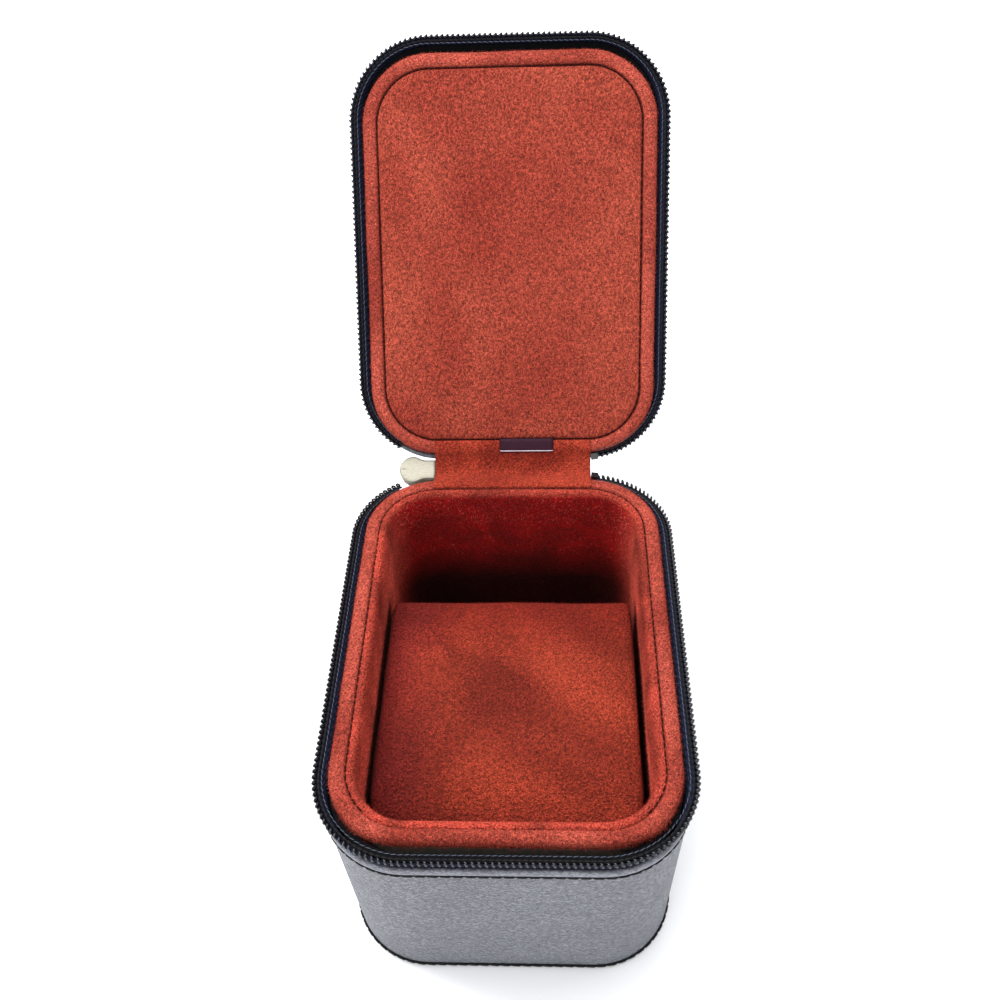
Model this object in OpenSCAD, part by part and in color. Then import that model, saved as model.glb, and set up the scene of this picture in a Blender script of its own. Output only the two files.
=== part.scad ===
// Zipped travel case for one watch: a leather-covered box with a suede-lined well, a watch
// cushion that lifts out, and a lid joined to the box by a strap hinge and a coil zip.
// Origin: centre of the underside of the box. X to the right, Y to the back, Z up.
// The lid, its hinge strap and the zip slider are drawn shut and then swung open by at_strap()
// and at_lid(), which turn about the two fold lines of the hinge strap.

/* [Box] */
// Width of the box across its leather walls
case_w = 82; // [76:1:92]
// Depth of the box across its leather walls
case_d = 110; // [102:1:124]
// Height of the box up to the leather lip
case_h = 64; // [56:0.5:72]
// Outer radius of the upright corners
corner_r = 20; // [18:0.5:24]
// Thickness of the leather
leather_t = 1; // [0.8:0.1:1.4]
// Thickness of the grey board in the walls
board_t = 1.8; // [1.4:0.1:2.2]
// Thickness of the panel under the box
base_t = 1.6; // [1.2:0.1:2.4]
// How far the front wall leans out at its lip
front_lean = 2.4; // [1.6:0.1:2.8]

/* [Lid] */
// Height of the lid's leather wall
lid_h = 14; // [11:0.5:22]
// Thickness of the lid's top cover
lid_cover_t = 1.5; // [1.2:0.1:2.2]
// Angle of each of the two folds of the strap when the lid stands open
fold_angle = 63; // [50:1:66]

/* [Lining] */
// Gap between the leather wall's outer face and the outer edge of the padded rim
rim_inset = 1.8; // [1.7:0.1:2.2]
// Width of the padded rim
rim_w = 3.8; // [3.4:0.1:4.6]
// Thickness of the suede lining
suede_t = 1.1; // [0.9:0.1:1.3]
// How far the lining of the well swells inwards below its top edge
liner_swell = 2; // [1.5:0.1:2.2]
// Width of the groove around the lid's pad
groove_w = 0.5; // [0.4:0.1:0.9]

/* [Zip] */
// Distance between the two leather lips when the case is shut, and length of the hinge strap
zip_gap = 8.5; // [8:0.1:9.5]
// How far the coil stands out past the walls at the sides
flare_side = 2; // [1.4:0.1:2.6]
// How far the coil stands out past the lip of the front wall
flare_front = 0.6; // [0.4:0.1:1.6]
// Distance from one tooth of the coil to the next
coil_pitch = 1.4; // [1.2:0.1:1.8]
// Height of the coil
coil_h = 1.6; // [1.4:0.1:1.8]
// Thickness of the zip's tape
tape_t = 0.5; // [0.4:0.05:0.6]

/* [Hinge] */
// Width of the hinge strap
strap_w = 43.5; // [38:0.5:45]

/* [Cushion] */
// Width of the watch cushion
cushion_w = 64; // [56:1:68]
// Depth of the watch cushion
cushion_d = 68; // [60:1:74]
// Height of the watch cushion
cushion_h = 46; // [38:1:49]

/* [Pull tabs] */
// Width of the leather tab at the edge of the lid's pad
lid_tab_w = 15; // [10:0.5:20]
// Length of the leather tab that shows
lid_tab_l = 3.2; // [2.4:0.1:3.3]
// Distance of the leather tab from the middle of the lid
lid_tab_x = 4; // [-6:0.5:6]
// Length of the zip slider
slider_l = 10.2; // [9.6:0.1:11]
// Length of the zip's pull
pull_l = 21; // [16:0.5:26]

/* [Hidden] */

// Colours
LEATHER = "dimgray";
BOARD = "tan";
SUEDE = "firebrick";
FOAM = "beige";
TAPE = "black";
METAL = "silver";
PLUM = "indigo";

$fn = 48;
eps = 0.1;             // play between glued layers
arc_steps = 8;         // flats in each swept corner
half_w = case_w / 2;
half_d = case_d / 2;
mid_z = case_h + zip_gap / 2;   // plane where the two halves of the zip meet
binding_h = 2.4;       // height of the turned leather edge
binding_out = 0.4;     // how far that edge stands proud of the wall
binding_foot = 0.5;    // height over which it swells to that
lip_round = 0.6;       // height over which its top is rounded off
box_foot = base_t;              // where the front wall starts to lean, in the box
lid_foot = case_h - lid_h;      // and in the lid, when that is turned over onto the box
seam_r = 0.4;          // rounding of panel edges

// Lining of the box
rim_gap = 1.2;         // between the two padded rims when the case is shut
rim_z = mid_z - rim_gap / 2;
rim_h = 3.5;
rim_round = 1.3;
liner_inset = rim_inset + rim_w;            // inner face of the well's suede
board_inner = liner_inset - suede_t - eps;  // inner face of the well's board
base_board_t = 2.2;
base_board_z = base_t + eps;
floor_board_t = 3;
floor_board_z = base_board_z + base_board_t + eps;
floor_z = floor_board_z + floor_board_t + eps;
floor_top = floor_z + suede_t;
swell_run = 7;         // height over which the lining swells, below its top and above the floor
swell_start = 0.6;     // share of the swell that it reaches in the first third of that height
side_board_inset = leather_t + tape_t + 3 * eps;
side_board_top = rim_z - rim_h - eps;
well_board_outset = side_board_inset + board_t + eps;

// Zip
coil_gap = 0.8;        // between the two coils when the case is shut
coil_top = mid_z - coil_gap / 2;
coil_w = 1.7;          // from the crown of the teeth to the back of the coil
tooth_l = 0.9;
flare_rear = 0.2;      // at the back the tape stands upright
crown_hw = half_w + flare_side;
crown_front = -half_d - front_lean - flare_front;
crown_rear = half_d + flare_rear;
crown_r = corner_r + 2;
tape_tuck = 6;         // length of tape held between leather and board
slider_gap = 0.3;      // between the slider and the hinge strap
coil_clear = 0.2;      // from the slider's end to the first tooth
stop_gap = 0.4;        // between the stop and the hinge strap
coil_start_x = strap_w / 2 + slider_gap + slider_l + coil_clear;
coil_start_a = asin((coil_start_x - (crown_hw - crown_r)) / crown_r);
stop_l = 2;
coil_end_x = strap_w / 2 + stop_gap + stop_l;
coil_end_a = asin((coil_end_x - (crown_hw - crown_r)) / crown_r);

// Hinge strap, with its two fold lines
flap_t = 0.6;
fold_y = half_d - leather_t / 2;
fold_lower_z = case_h;
fold_upper_z = case_h + zip_gap;
fold_clear = 0.3;      // from a fold line's round edge to the lip that it turns on

// Lid, drawn shut
lid_z = case_h + zip_gap;
lid_top_z = lid_z + lid_h;
lid_rim_z = mid_z + rim_gap / 2;
lid_rim_top = lid_rim_z + rim_h;
lid_board_t = 1.8;
lid_pad_board_t = 1.5;
pad_edge = 0.4;        // rounding of the pad's edge
pad_rise = 0.1;        // how far its middle stands proud of the rim
tail_t = 0.5;          // thickness of the flap's ends, let into the two rims
tail_inset = 0.5;      // from the sides of the rim to the edges of those ends
lid_tab_t = 0.8;
lid_tab_lift = 0.1;

// Cushion
cushion_end_t = 1;
cushion_clear = 0.3;       // under the cushion
cushion_side_clear = 0.5;  // from its front corners to the lining
cushion_front_clear = 0.8; // from its front to the lining
cushion_z = floor_top + cushion_clear;
cushion_front = -half_d + liner_inset + liner_swell + cushion_front_clear;
cushion_front_r = 15;
cushion_rear_r = 7;
cushion_foot_r = 8;
wrap_t = 1;
end_inset = 0.3;       // how far the end panels are smaller than the wrap

// Slider and pull
slider_w = 7.8;
slider_neck = 5.6;
neck_from = 0.72;      // share of its length where the neck starts
plate_t = 0.8;
bond = 0.1;            // how far joined metal parts run into each other
post_at = 1.6;         // from the nose to the post between the plates
post_l = 2.2;
post_w = 2;
channel = 2.6;         // between the slider's two plates
slider_y = half_d + 0.6;
slider_x1 = -strap_w / 2 - slider_gap;
slider_x0 = slider_x1 - slider_l;
ear_t = 0.8;           // thickness of the two ears that hold the pull's pin
ear_l = 1.8;
ear_h = 2.4;
pin_r = 0.5;
pin_rise = 1.5;        // from the outer plate to the pin's axis
pull_pin_x = slider_x0 + slider_l * 0.5;
pull_pin_y = slider_y + channel / 2 + plate_t + pin_rise;
pull_play = 0.1;
pull_w = 6.4;
pull_t = 1.2;
pull_eye = 3;          // width between the ears
pull_eye_r = 1.2;
pull_shank = 5;        // from the pin to where the leaf widens
pull_shy = 0.8;        // how much narrower its straight sides are than its round end
pull_hole_r = 1.3;

// ---------- shapes that repeat ----------

// Points of a rounded rectangle from yf at the front to yr at the back
function rr_points(hw, yf, yr, r, n = arc_steps) = [
    for (q = [0:3], i = [0:n])
        let (a = 90 * q + 90 * i / n,
             cx = (q == 0 || q == 3) ? hw - r : r - hw,
             cy = (q < 2) ? yr - r : yf + r)
        [cx + r * cos(a), cy + r * sin(a)]
];

// Rounded rectangle with true arcs, the case's outline moved in by inset
module outline_2d(inset = 0) {
    w = case_w - 2 * inset;
    d = case_d - 2 * inset;
    r = max(corner_r - inset, 1);
    square([w - 2 * r, d], center = true);
    square([w, d - 2 * r], center = true);
    for (x = [-1, 1], y = [-1, 1])
        translate([x * (w / 2 - r), y * (d / 2 - r)]) circle(r);
}

module wall(outer, inner, z0, z1) {
    translate([0, 0, z0]) linear_extrude(z1 - z0) difference() {
        outline_2d(outer);
        outline_2d(inner);
    }
}

module slab(inset, z0, z1) {
    translate([0, 0, z0]) linear_extrude(z1 - z0) outline_2d(inset);
}

// Solid from rings of points that all have the same count; closed joins the last ring to the first
module rings(list, closed) {
    m = len(list);
    n = len(list[0]);
    points = [for (ring = list) each ring];
    sides = [
        for (j = [0 : closed ? m - 1 : m - 2], i = [0 : n - 1])
            let (k = (j + 1) % m, l = (i + 1) % n)
            each [[j * n + i, k * n + i, k * n + l], [j * n + i, k * n + l, j * n + l]]
    ];
    caps = closed ? [] : [[for (i = [0 : n - 1]) i], [for (i = [n - 1 : -1 : 0]) (m - 1) * n + i]];
    polyhedron(points, concat(sides, caps), convexity = 8);
}

// How far the front leans out at height z, in a wall whose foot is at height foot
function lean_at(z, foot) = front_lean * min(1, (z - foot) / (case_h - foot));

// A ring of the case's outline moved in by inset, at height z, with its front moved out by lean
function level(inset, z, lean = 0) = [
    for (p = rr_points(half_w - inset, inset - half_d - lean, half_d - inset,
                       max(corner_r - inset, 1)))
        [p[0], p[1], z]
];

// A profile of [inset, height] swept round the case's outline
module swept_profile(profile) {
    rings([for (p = profile) level(p[0], p[1])], true);
}

// The same, with a front that leans out from the wall's foot to its lip
module leaning_profile(profile, foot) {
    rings([for (p = profile) level(p[0], p[1], lean_at(p[1], foot))], true);
}

module leaning_wall(outer, inner, z0, z1, foot) {
    leaning_profile([[inner, z0], [outer, z0], [outer, z1], [inner, z1]], foot);
}

module padded_ring(outer, inner, z0, z1, r) {
    swept_profile(concat(
        [[inner, z0], [outer, z0]],
        [for (a = [0 : 30 : 90]) [outer + r * (1 - cos(a)), z1 - r * (1 - sin(a))]],
        [for (a = [90 : -30 : 0]) [inner - r * (1 - cos(a)), z1 - r * (1 - sin(a))]]
    ));
}

// Keeps the zip's side of a part at z = mid_z for the box, and turns it over for the lid
module turned_over() {
    translate([0, 0, 2 * mid_z]) mirror([0, 0, 1]) children();
}

// Swings what is drawn shut to where the open hinge strap holds it
module at_strap() {
    translate([0, fold_y, fold_lower_z]) rotate([-fold_angle, 0, 0])
        translate([0, -fold_y, -fold_lower_z]) children();
}

// The same for what the lid carries
module at_lid() {
    at_strap() translate([0, fold_y, fold_upper_z]) rotate([-fold_angle, 0, 0])
        translate([0, -fold_y, -fold_upper_z]) children();
}

// ---------- zip ----------

// Lengths of the coil's path: rear left arc, left side, front left arc, front, and so on
side_l = crown_rear - crown_front - 2 * crown_r;
front_l = 2 * (crown_hw - crown_r);
quarter = PI * crown_r / 2;
first_arc = PI * crown_r * (90 - coil_start_a) / 180;
last_arc = PI * crown_r * (90 - coil_end_a) / 180;
path_steps = [first_arc, side_l, quarter, front_l, quarter, side_l, last_arc];
function sum_to(k) = k == 0 ? 0 : path_steps[k - 1] + sum_to(k - 1);
path_l = sum_to(len(path_steps));

// Place and outward direction on an arc, whose angle is counted from +Y towards -X
function on_arc(cx, cy, r, a) = [cx - r * sin(a), cy + r * cos(a), -sin(a), cos(a)];

// [x, y, outward x, outward y] at length s of the crown's path, moved in by inset
function path_at(s, inset = 0) =
    let (k = s >= sum_to(6) ? 6 : s >= sum_to(5) ? 5 : s >= sum_to(4) ? 4 : s >= sum_to(3) ? 3
             : s >= sum_to(2) ? 2 : s >= sum_to(1) ? 1 : 0,
         t = s - sum_to(k),
         turn = t * 180 / (PI * crown_r),
         cx = crown_hw - crown_r,
         yr = crown_rear - crown_r,
         yf = crown_front + crown_r,
         r = crown_r - inset)
    k == 0 ? on_arc(-cx, yr, r, coil_start_a + turn)
    : k == 1 ? [inset - crown_hw, yr - t, -1, 0]
    : k == 2 ? on_arc(-cx, yf, r, 90 + turn)
    : k == 3 ? [t - cx, crown_front + inset, 0, -1]
    : k == 4 ? on_arc(cx, yf, r, 180 + turn)
    : k == 5 ? [crown_hw - inset, yf + t, 1, 0]
    : on_arc(cx, yr, r, 270 + turn);

teeth = floor(path_l / coil_pitch);
tooth_step = path_l / teeth;
back_steps = ceil(teeth / 3);

// The coil seen from above: teeth along its outer edge, smooth along its inner edge
module zip_coil() {
    crown = [
        for (i = [0 : teeth - 1], c = [[0, 0], [0.5, 0], [0.5, tooth_l], [1, tooth_l]])
            let (p = path_at(min((i + c[0]) * tooth_step, path_l), c[1])) [p[0], p[1]]
    ];
    back = [
        for (i = [back_steps : -1 : 0]) let (p = path_at(i * path_l / back_steps, coil_w)) [p[0], p[1]]
    ];
    color(TAPE) translate([0, 0, coil_top - coil_h])
        linear_extrude(coil_h) polygon(concat(crown, back));
}

tape_stations = 72;
tape_bend = 0.4;       // below the lip, where the tape bends outwards
tape_bend_rise = 0.3;  // how much higher it bends on its inner face

// Point of the tape at height z behind the leather, below point p of the coil's path
function held(p, depth, z, foot) =
    let (cx = half_w - corner_r,
         cyf = corner_r - half_d - lean_at(z, foot),
         core = [max(-cx, min(cx, p[0])), max(cyf, min(half_d - corner_r, p[1]))],
         aim = [p[0], p[1]] - core,
         at = core + aim / norm(aim) * (corner_r - leather_t - eps - depth))
    [at[0], at[1], z];

// One cross-section of the tape, from its tucked foot up to the underside of the coil
function tape_section(s, foot) =
    let (p = path_at(s, coil_w / 2 - tape_t / 2),
         q = path_at(s, coil_w / 2 + tape_t / 2),
         z0 = case_h - tape_tuck, z1 = case_h - tape_bend, z2 = coil_top - coil_h)
    [held(p, 0, z0, foot), held(p, 0, z1, foot), [p[0], p[1], z2], [q[0], q[1], z2],
     held(p, tape_t, z1 + tape_bend_rise, foot), held(p, tape_t, z0, foot)];

module zip_tape(foot) {
    color(TAPE)
        rings([for (i = [0 : tape_stations]) tape_section(path_l * i / tape_stations, foot)], false);
}

// Stop clamped on the coil's right-hand end
module zip_stop() {
    p = path_at(path_l);
    color(METAL) translate([p[0], p[1], coil_top - coil_h]) rotate([0, 0, -coil_end_a])
        translate([-stop_l, -coil_w, 0]) cube([stop_l - eps, coil_w, coil_h]);
}

// ---------- box ----------

module base_cover() {
    color(LEATHER) rings([
        level(seam_r, 0), level(0, seam_r), level(0, base_t - seam_r), level(seam_r, base_t)
    ], false);
}

module base_board() {
    color(BOARD) slab(leather_t + eps, base_board_z, base_board_z + base_board_t);
}

module side_leather() {
    color(LEATHER) leaning_wall(0, leather_t, base_t, case_h - binding_h, box_foot);
}

// Set in from the leather, so that the tape's foot is held between the two
module side_board() {
    color(BOARD) leaning_wall(side_board_inset, side_board_inset + board_t, floor_board_z,
                              side_board_top, box_foot);
}

// Turned and stitched edge of the wall, lowered under the hinge strap
module edge_binding(foot) {
    z0 = case_h - binding_h;
    color(LEATHER) difference() {
        leaning_profile([
            [leather_t, z0], [0, z0], [-binding_out, z0 + binding_foot],
            [-binding_out, case_h - lip_round], [-binding_out / 2, case_h - lip_round / 4],
            [leather_t / 4, case_h], [leather_t, case_h - lip_round / 2]
        ], foot);
        translate([0, half_d, case_h])
            cube([strap_w + 2 * fold_clear, 4 * leather_t, leather_t + 2 * fold_clear],
                 center = true);
    }
}

module well_board() {
    color(BOARD) wall(well_board_outset, board_inner, floor_board_z + floor_board_t + eps, side_board_top);
}

// Suede over soft padding, which swells inwards between its top and the floor
module well_liner() {
    swollen = liner_inset + liner_swell;
    color(SUEDE) swept_profile([
        [board_inner + eps, floor_z], [board_inner + eps, side_board_top],
        [liner_inset, side_board_top],
        [liner_inset + swell_start * liner_swell, side_board_top - swell_run / 3],
        [swollen, side_board_top - swell_run], [swollen, floor_top + swell_run],
        [liner_inset, floor_top + eps], [liner_inset, floor_z]
    ]);
}

module well_floor_board() {
    color(BOARD) slab(well_board_outset, floor_board_z, floor_board_z + floor_board_t);
}

module well_floor() {
    color(SUEDE) slab(liner_inset + eps, floor_z, floor_top);
}

// Recess in a rim for the end of the hinge flap
module tail_recess() {
    translate([0, half_d - rim_inset - rim_w / 2, rim_z])
        cube([strap_w + 2 * eps, rim_w + 2, 2 * tail_t], center = true);
}

module rim_pad() {
    color(SUEDE) difference() {
        padded_ring(rim_inset, liner_inset, rim_z - rim_h, rim_z, rim_round);
        tail_recess();
    }
}

// End of the hinge flap, glued into the rim's recess
module flap_tail_lower() {
    color(SUEDE) translate([0, half_d - rim_inset - rim_w / 2, rim_z - tail_t / 2])
        cube([strap_w, rim_w - 2 * tail_inset, tail_t], center = true);
}

// ---------- hinge strap ----------

module hinge_leather() {
    r = leather_t / 2;
    color(LEATHER) at_strap() {
        translate([-strap_w / 2, fold_y - r, fold_lower_z]) cube([strap_w, leather_t, zip_gap]);
        for (z = [fold_lower_z, fold_upper_z])
            translate([-strap_w / 2, fold_y, z]) rotate([0, 90, 0]) cylinder(r = r, h = strap_w);
    }
}

module hinge_flap() {
    y = fold_y - leather_t / 2 - flap_t;
    color(SUEDE) at_strap() translate([-strap_w / 2, y, fold_lower_z + 0.6])
        cube([strap_w, flap_t, zip_gap - 1.2]);
}

// ---------- lid ----------

module lid_cover() {
    z0 = lid_top_z;
    color(LEATHER) at_lid() rings([
        level(0, z0), level(0, z0 + lid_cover_t - 3 * seam_r), level(seam_r, z0 + lid_cover_t - seam_r),
        level(3 * seam_r, z0 + lid_cover_t)
    ], false);
}

module lid_board() {
    color(BOARD) at_lid() slab(leather_t + eps, lid_top_z - eps - lid_board_t, lid_top_z - eps);
}

module lid_side_leather() {
    color(LEATHER) at_lid() turned_over()
        leaning_wall(0, leather_t, lid_foot, case_h - binding_h, lid_foot);
}

module lid_side_board() {
    color(BOARD) at_lid() turned_over()
        leaning_wall(side_board_inset, side_board_inset + board_t,
                     lid_foot + lid_board_t + 2 * eps, side_board_top, lid_foot);
}

module lid_edge_binding() {
    at_lid() turned_over() edge_binding(lid_foot);
}

module zip_tape_upper() {
    at_lid() turned_over() zip_tape(lid_foot);
}

module zip_coil_upper() {
    at_lid() turned_over() zip_coil();
}

module zip_stop_upper() {
    at_lid() turned_over() zip_stop();
}

module lid_pad_board() {
    color(BOARD) at_lid()
        slab(well_board_outset, lid_rim_top + eps, lid_rim_top + eps + lid_pad_board_t);
}

module lid_foam() {
    color(FOAM) at_lid()
        slab(well_board_outset, lid_rim_top + lid_pad_board_t + 2 * eps,
             lid_top_z - lid_board_t - 2 * eps);
}

module lid_rim_pad() {
    at_lid() turned_over() rim_pad();
}

// Suede pad that fills the rim, with a groove all round
module lid_pad() {
    i = liner_inset + groove_w;
    color(SUEDE) at_lid() turned_over() rings([
        level(i, rim_z - rim_h), level(i, rim_z - rim_round), level(i + pad_edge, rim_z - pad_edge),
        level(i + rim_round, rim_z - pad_rise / 2), level(i + 3 * rim_round, rim_z + pad_rise)
    ], false);
}

module flap_tail_upper() {
    at_lid() turned_over() flap_tail_lower();
}

// Folded leather tab: its root is glued in the groove, the rest lies over the rim
module lid_tab() {
    y0 = half_d - liner_inset;
    z = lid_rim_z - lid_tab_lift;
    color(PLUM) at_lid() {
        translate([lid_tab_x - lid_tab_w / 2, y0, z - lid_tab_t])
            cube([lid_tab_w, lid_tab_l, lid_tab_t]);
        translate([lid_tab_x - lid_tab_w / 2, y0, z - lid_tab_t / 2]) rotate([0, 90, 0])
            cylinder(r = lid_tab_t / 2, h = lid_tab_w);
        translate([lid_tab_x - lid_tab_w / 2, y0 + lid_tab_l, z - lid_tab_t / 2]) rotate([0, 90, 0])
            cylinder(r = lid_tab_t / 2, h = lid_tab_w);
    }
}

// ---------- cushion ----------

function corner(cy, cz, r, a0) = [for (a = [a0 : 15 : a0 + 90]) [cy + r * cos(a), cz + r * sin(a)]];

// Side view of the cushion moved in by inset: [y, z]
function cushion_side(inset) =
    let (y0 = cushion_front + inset, y1 = cushion_front + cushion_d - inset,
         z0 = cushion_z + inset, z1 = cushion_z + cushion_h - inset,
         fr = cushion_front_r - inset, rr = cushion_rear_r - inset, br = cushion_foot_r - inset)
    concat(corner(y1 - rr, z1 - rr, rr, 0), corner(y0 + fr, z1 - fr, fr, 90),
           corner(y0 + br, z0 + br, br, 180), corner(y1 - br, z0 + br, br, 270));

// A length of the cushion, with its front corners rounded off to follow the well
module cushion_slice(inset, x0, x1) {
    intersection() {
        translate([x0, 0, 0]) rotate([90, 0, 90]) linear_extrude(x1 - x0)
            polygon(cushion_side(inset));
        slab(liner_inset + liner_swell + cushion_side_clear + inset,
             cushion_z - 1, cushion_z + cushion_h + 1);
    }
}

cushion_in = cushion_w / 2 - cushion_end_t;

module cushion_core() {
    color(FOAM) cushion_slice(wrap_t, -cushion_in, cushion_in);
}

module cushion_wrap() {
    color(SUEDE) difference() {
        cushion_slice(0, -cushion_in, cushion_in);
        cushion_slice(wrap_t, -cushion_in - 1, cushion_in + 1);
    }
}

module cushion_end_right() {
    color(SUEDE) cushion_slice(end_inset, cushion_in, cushion_w / 2);
}

module cushion_end_left() {
    mirror([1, 0, 0]) cushion_end_right();
}

// ---------- slider and pull ----------

// Outline of a slider plate: a round nose that narrows to a neck, [length, half width]
function plate_half(t) =
    let (nose = slider_w / 2, waist = neck_from * slider_l)
    t < nose ? sqrt(max(0, nose * nose - (nose - t) * (nose - t)))
    : t > waist ? slider_neck / 2
    : slider_neck / 2
        + (nose - slider_neck / 2) * (1 + cos(180 * (t - nose) / (waist - nose))) / 2;

module plate_2d() {
    t = [for (a = [0 : 15 : 90]) slider_w / 2 * (1 - cos(a)), for (k = [1 : 6])
            slider_w / 2 + k / 6 * (neck_from * slider_l - slider_w / 2), slider_l];
    upper = [for (v = t) [slider_x0 + v, mid_z + plate_half(v)]];
    lower = [for (i = [len(t) - 1 : -1 : 1]) [slider_x0 + t[i], mid_z - plate_half(t[i])]];
    polygon(concat(upper, lower));
}

// Extrudes a drawing in the X-Z plane from y0 to y1
module upright(y0, y1) {
    translate([0, y1, 0]) rotate([90, 0, 0]) linear_extrude(y1 - y0) children();
}

// Two plates joined by a post, with two ears on the outer one and the pin that the pull hangs on
module zip_slider() {
    y_in = slider_y - channel / 2;
    y_out = slider_y + channel / 2;
    color(METAL) at_strap() {
        upright(y_in - plate_t, y_in) plate_2d();
        upright(y_out, y_out + plate_t) plate_2d();
        upright(y_in - bond, y_out + bond)
            translate([slider_x0 + post_at, mid_z - post_w / 2]) square([post_l, post_w]);
        for (z = [mid_z - pull_eye / 2 - ear_t, mid_z + pull_eye / 2])
            translate([pull_pin_x - ear_l / 2, y_out + plate_t - bond, z])
                cube([ear_l, ear_h + bond, ear_t]);
        translate([pull_pin_x, pull_pin_y, mid_z - pull_eye / 2 - ear_t / 2])
            cylinder(r = pin_r, h = pull_eye + ear_t);
    }
}

// Pull with a round eye on the slider's pin and a leaf to hold
module zip_pull() {
    leaf_y = pull_pin_y + pull_l - pull_w / 2;
    color(METAL) at_strap() difference() {
        union() {
            translate([pull_pin_x, pull_pin_y, mid_z - pull_eye / 2 + pull_play])
                cylinder(r = pull_eye_r, h = pull_eye - 2 * pull_play);
            translate([pull_pin_x - pull_t / 2, pull_pin_y, mid_z - pull_eye / 2 + pull_play])
                cube([pull_t, pull_l - pull_w / 2, pull_eye - 2 * pull_play]);
            translate([pull_pin_x - pull_t / 2, leaf_y, mid_z]) rotate([0, 90, 0])
                cylinder(r = pull_w / 2, h = pull_t);
            translate([pull_pin_x - pull_t / 2, pull_pin_y + pull_shank,
                       mid_z - pull_w / 2 + pull_shy])
                cube([pull_t, pull_l - pull_w / 2 - pull_shank, pull_w - 2 * pull_shy]);
        }
        translate([pull_pin_x, pull_pin_y, mid_z - pull_eye])
            cylinder(r = pin_r + pull_play, h = 2 * pull_eye);
        translate([pull_pin_x - pull_t, leaf_y, mid_z]) rotate([0, 90, 0])
            cylinder(r = pull_hole_r, h = 2 * pull_t);
    }
}

base_cover();
base_board();
side_leather();
side_board();
edge_binding(box_foot);
zip_tape(box_foot);  // zip_tape_lower
zip_coil();  // zip_coil_lower
zip_stop();  // zip_stop_lower
well_board();
well_liner();
well_floor_board();
well_floor();
rim_pad();
flap_tail_lower();
hinge_leather();
hinge_flap();
lid_cover();
lid_board();
lid_side_leather();
lid_side_board();
lid_edge_binding();
zip_tape_upper();
zip_coil_upper();
zip_stop_upper();
lid_foam();
lid_pad_board();
lid_rim_pad();
lid_pad();
flap_tail_upper();
lid_tab();
cushion_core();
cushion_wrap();
cushion_end_left();
cushion_end_right();
zip_slider();
zip_pull();
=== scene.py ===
import math

import bmesh
import bpy
from mathutils import Matrix, Vector, bvhtree, geometry, noise


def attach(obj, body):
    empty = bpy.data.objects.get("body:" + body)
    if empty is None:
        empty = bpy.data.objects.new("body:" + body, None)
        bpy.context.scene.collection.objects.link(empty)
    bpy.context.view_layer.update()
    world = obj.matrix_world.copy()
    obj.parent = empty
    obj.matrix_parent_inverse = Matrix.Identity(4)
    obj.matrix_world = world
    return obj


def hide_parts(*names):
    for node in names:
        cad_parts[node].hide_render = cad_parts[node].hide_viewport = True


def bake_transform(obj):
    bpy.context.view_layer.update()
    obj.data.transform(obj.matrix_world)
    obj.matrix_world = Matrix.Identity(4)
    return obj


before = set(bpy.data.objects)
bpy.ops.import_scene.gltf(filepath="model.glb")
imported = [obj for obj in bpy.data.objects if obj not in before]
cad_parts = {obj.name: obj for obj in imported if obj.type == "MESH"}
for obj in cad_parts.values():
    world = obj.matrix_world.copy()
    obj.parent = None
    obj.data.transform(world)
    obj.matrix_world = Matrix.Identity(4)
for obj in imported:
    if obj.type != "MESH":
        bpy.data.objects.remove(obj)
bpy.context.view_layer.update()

# ---------- Camera ----------
# A tripod view from just in front of the case and well above it, so that it looks down into
# the lined well and straight on to the open lid.
swing, tilt, lean = math.radians(3.732), math.radians(46.934), math.radians(-2.997)
back = Vector((math.sin(swing) * math.cos(tilt), -math.cos(swing) * math.cos(tilt), math.sin(tilt)))
level_right = (-back).cross(Vector((0, 0, 1))).normalized()
level_up = level_right.cross(-back)
right = math.cos(lean) * level_right + math.sin(lean) * level_up
up = math.cos(lean) * level_up - math.sin(lean) * level_right
camera = bpy.data.objects.new("camera", bpy.data.cameras.new("camera"))
camera.matrix_world = Matrix.Translation((0.009149, -0.144904, 0.271235)) @ Matrix(
    (right, up, back)
).transposed().to_4x4()
camera.data.lens = 36.566
camera.data.sensor_width = 36
camera.data.clip_start = 0.01
bpy.context.scene.collection.objects.link(camera)
bpy.context.scene.camera = camera


# ---------- Floor and light ----------
# A sheet of pale card lies under the case. One large soft lamp hangs over its back edge, a
# second fills from the front right, and the room is white.
def linear(colour):
    """Linear RGBA of an sRGB hex colour."""
    parts = [int(colour[i:i + 2], 16) / 255 for i in (1, 3, 5)]
    return (*[c / 12.92 if c <= 0.04045 else ((c + 0.055) / 1.055) ** 2.4 for c in parts], 1)


def add(tree, kind, inputs=None, **settings):
    """A new node. inputs gives, by name or number, a value or the output that feeds it."""
    node = tree.nodes.new(kind)
    for key, value in settings.items():
        setattr(node, key, value)
    for key, value in (inputs or {}).items():
        if isinstance(value, bpy.types.NodeSocket):
            tree.links.new(value, node.inputs[key])
        else:
            node.inputs[key].default_value = value
    return node


def new_material(name, colour):
    """An empty material, its tree and its closing surface node."""
    material = bpy.data.materials.new(name)
    material.use_nodes = True
    material.diffuse_color = linear(colour)
    tree = material.node_tree
    tree.nodes.clear()
    surface = add(tree, "ShaderNodeBsdfPrincipled", {"Base Color": linear(colour)})
    add(tree, "ShaderNodeOutputMaterial", {0: surface.outputs[0]})
    return material, tree, surface


def link(name, mesh):
    piece = bpy.data.objects.new(name, mesh)
    bpy.context.scene.collection.objects.link(piece)
    return piece


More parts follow.
